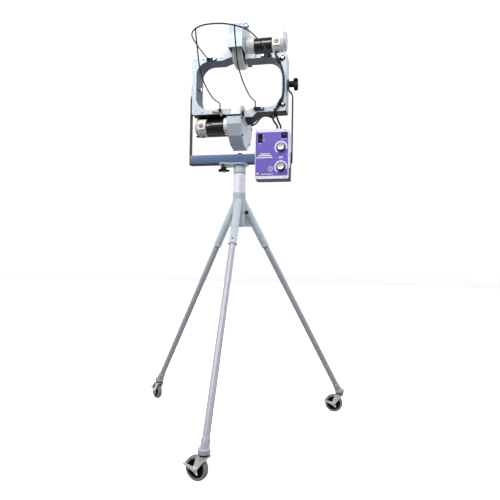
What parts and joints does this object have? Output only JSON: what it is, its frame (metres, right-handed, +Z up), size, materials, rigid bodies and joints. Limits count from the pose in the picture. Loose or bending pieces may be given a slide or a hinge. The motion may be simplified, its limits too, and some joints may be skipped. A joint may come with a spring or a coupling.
{
  "type": "ball throwing machine",
  "caption": "Ball throwing machine with a wheel above and below the ball, in a tilting head on a swivelling yoke and a tripod with braked casters.",
  "frame": {"origin": "on the floor, at the centre of the object's footprint", "axes": "+Z up, +Y the way the ball leaves, +X to the right of an operator who looks along +Y"},
  "size_m": [1.204, 1.037, 2.148],
  "materials": {
    "silver_paint": "semi-gloss",
    "charcoal_paint": "satin",
    "black_paint": "satin",
    "black_plastic": "matte",
    "urethane": "satin",
    "cream_paint": "satin",
    "zinc": "zinc plated",
    "purple_panel": "satin",
    "case_alloy": "brushed",
    "caster_tread": "matte",
    "cable_jacket": "matte"
  },
  "bodies": {
    "tripod": {"tripod_hub": "silver_paint"},
    "mast": {"mast_tube": "silver_paint", "swivel_plate": "silver_paint", "king_bolt": "black_paint"},
    "yoke": {"yoke_bar": "charcoal_paint", "yoke_arm_left": "charcoal_paint", "yoke_arm_right": "charcoal_paint", "control_case": "case_alloy", "control_panel": "purple_panel", "control_bracket": "black_paint", "power_inlet": "black_plastic", "rocker_frame": "black_plastic"},
    "head": {"frame_left": "silver_paint", "frame_right": "silver_paint", "upper_guard": "silver_paint", "lower_guard": "silver_paint", "upper_motor_front_bell": "cream_paint", "upper_motor_can": "black_paint", "upper_motor_rear_bell": "cream_paint", "upper_motor_end_cover": "cream_paint", "lower_motor_front_bell": "cream_paint", "lower_motor_can": "black_paint", "lower_motor_rear_bell": "cream_paint", "lower_motor_end_cover": "cream_paint", "ball_guide": "black_paint", "guide_clip_top_left": "black_plastic", "guide_clip_top_right": "black_plastic", "guide_clip_low_left": "black_plastic", "guide_clip_low_right": "black_plastic", "tilt_pivot_bolt": "zinc", "cable_clip_upper": "black_plastic", "cable_clip_lower": "black_plastic", "upper_motor_cable": "cable_jacket", "lower_motor_cable": "cable_jacket"},
    "upper_wheel": {"upper_wheel_tyre": "urethane", "upper_wheel_hub": "black_paint"},
    "lower_wheel": {"lower_wheel_tyre": "urethane", "lower_wheel_hub": "black_paint"},
    "power_rocker": {"power_rocker": "black_plastic"},
    "upper_dial": {"upper_speed_dial": "black_plastic"},
    "lower_dial": {"lower_speed_dial": "black_plastic"},
    "tilt_knob": {"tilt_knob": "black_plastic"},
    "swivel_knob": {"swivel_knob": "black_plastic"},
    "height_plunger": {"height_plunger": "black_plastic"},
    "leg_front": {"leg_front": "silver_paint", "caster_race_front": "black_paint"},
    "fork_front": {"caster_fork_front": "zinc"},
    "wheel_front": {"caster_wheel_front": "caster_tread"},
    "brake_front": {"caster_brake_front": "zinc"},
    "leg_right": {"leg_right": "silver_paint", "caster_race_right": "black_paint"},
    "fork_right": {"caster_fork_right": "zinc"},
    "wheel_right": {"caster_wheel_right": "caster_tread"},
    "brake_right": {"caster_brake_right": "zinc"},
    "leg_left": {"leg_left": "silver_paint", "caster_race_left": "black_paint"},
    "fork_left": {"caster_fork_left": "zinc"},
    "wheel_left": {"caster_wheel_left": "caster_tread"},
    "brake_left": {"caster_brake_left": "zinc"}
  },
  "joints": [
    {"name": "mast_height", "type": "slide", "parent": "tripod", "child": "mast", "axis": [0, 0, 1], "range_m": [-0.105, 0.08]},
    {"name": "pan_swivel", "type": "hinge", "parent": "mast", "child": "yoke", "pos_m": [0.03493, 0.14327, 1.388], "axis": [0, 0, 1], "range_deg": [-25, 25]},
    {"name": "head_tilt", "type": "hinge", "parent": "yoke", "child": "head", "pos_m": [0.02893, 0.14327, 1.81], "axis": [1, 0, 0], "range_deg": [-30, 40], "deforming": ["upper_motor_cable", "lower_motor_cable"]},
    {"name": "upper_wheel_spin", "type": "hinge", "parent": "head", "child": "upper_wheel", "pos_m": [0.02893, 0.14327, 2.0245], "axis": [1, 0, 0], "continuous": true},
    {"name": "lower_wheel_spin", "type": "hinge", "parent": "head", "child": "lower_wheel", "pos_m": [0.02893, 0.14327, 1.5955], "axis": [1, 0, 0], "continuous": true},
    {"name": "tilt_knob_turn", "type": "hinge", "parent": "yoke", "child": "tilt_knob", "pos_m": [0.30893, 0.14327, 1.81], "axis": [1, 0, 0], "range_deg": [0, 300]},
    {"name": "swivel_knob_turn", "type": "hinge", "parent": "yoke", "child": "swivel_knob", "pos_m": [-0.05507, 0.14327, 1.358], "axis": [0, 0, -1], "range_deg": [0, 300]},
    {"name": "power_rocker_tip", "type": "hinge", "parent": "yoke", "child": "power_rocker", "pos_m": [0.16393, 0.03587, 1.4995], "axis": [1, 0, 0], "range_deg": [-14, 0]},
    {"name": "upper_dial_turn", "type": "hinge", "parent": "yoke", "child": "upper_dial", "pos_m": [0.27143, 0.03327, 1.4495], "axis": [0, -1, 0], "range_deg": [-135, 135]},
    {"name": "lower_dial_turn", "type": "hinge", "parent": "yoke", "child": "lower_dial", "pos_m": [0.27143, 0.03327, 1.35], "axis": [0, -1, 0], "range_deg": [-135, 135]},
    {"name": "height_plunger_pull", "type": "slide", "parent": "tripod", "child": "height_plunger", "axis": [0.9272, -0.3746, 0], "range_m": [0, 0.01], "stiffness_N_per_m": 400},
    {"name": "leg_front_pull", "type": "slide", "parent": "tripod", "child": "leg_front", "axis": [0.0147, -0.4965, -0.8679], "range_m": [0, 0.1]},
    {"name": "caster_front_swivel", "type": "hinge", "parent": "leg_front", "child": "fork_front", "pos_m": [0.0538, -0.49245, 0.103], "axis": [0, 0, 1], "continuous": true},
    {"name": "caster_front_roll", "type": "hinge", "parent": "fork_front", "child": "wheel_front", "pos_m": [0.02289, -0.48417, 0.05], "axis": [-0.2588, -0.9659, 0], "continuous": true},
    {"name": "caster_front_brake", "type": "hinge", "parent": "fork_front", "child": "brake_front", "pos_m": [0.02289, -0.48417, 0.05], "axis": [-0.2588, -0.9659, 0], "range_deg": [0, 12]},
    {"name": "leg_right_pull", "type": "slide", "parent": "tripod", "child": "leg_right", "axis": [0.4226, 0.261, -0.8679], "range_m": [0, 0.1]},
    {"name": "caster_right_swivel", "type": "hinge", "parent": "leg_right", "child": "fork_right", "pos_m": [0.57605, 0.47747, 0.103], "axis": [0, 0, 1], "continuous": true},
    {"name": "caster_right_roll", "type": "hinge", "parent": "fork_right", "child": "wheel_right", "pos_m": [0.54413, 0.4797, 0.05], "axis": [-0.0698, -0.9976, 0], "continuous": true},
    {"name": "caster_right_brake", "type": "hinge", "parent": "fork_right", "child": "brake_right", "pos_m": [0.54413, 0.4797, 0.05], "axis": [-0.0698, -0.9976, 0], "range_deg": [0, 12]},
    {"name": "leg_left_pull", "type": "slide", "parent": "tripod", "child": "leg_left", "axis": [-0.4373, 0.2355, -0.8679], "range_m": [0, 0.1]},
    {"name": "caster_left_swivel", "type": "hinge", "parent": "leg_left", "child": "fork_left", "pos_m": [-0.52505, 0.44479, 0.103], "axis": [0, 0, 1], "continuous": true},
    {"name": "caster_left_roll", "type": "hinge", "parent": "fork_left", "child": "wheel_left", "pos_m": [-0.54846, 0.46661, 0.05], "axis": [-0.682, -0.7314, 0], "continuous": true},
    {"name": "caster_left_brake", "type": "hinge", "parent": "fork_left", "child": "brake_left", "pos_m": [-0.54846, 0.46661, 0.05], "axis": [-0.682, -0.7314, 0], "range_deg": [0, 12]}
  ]
}
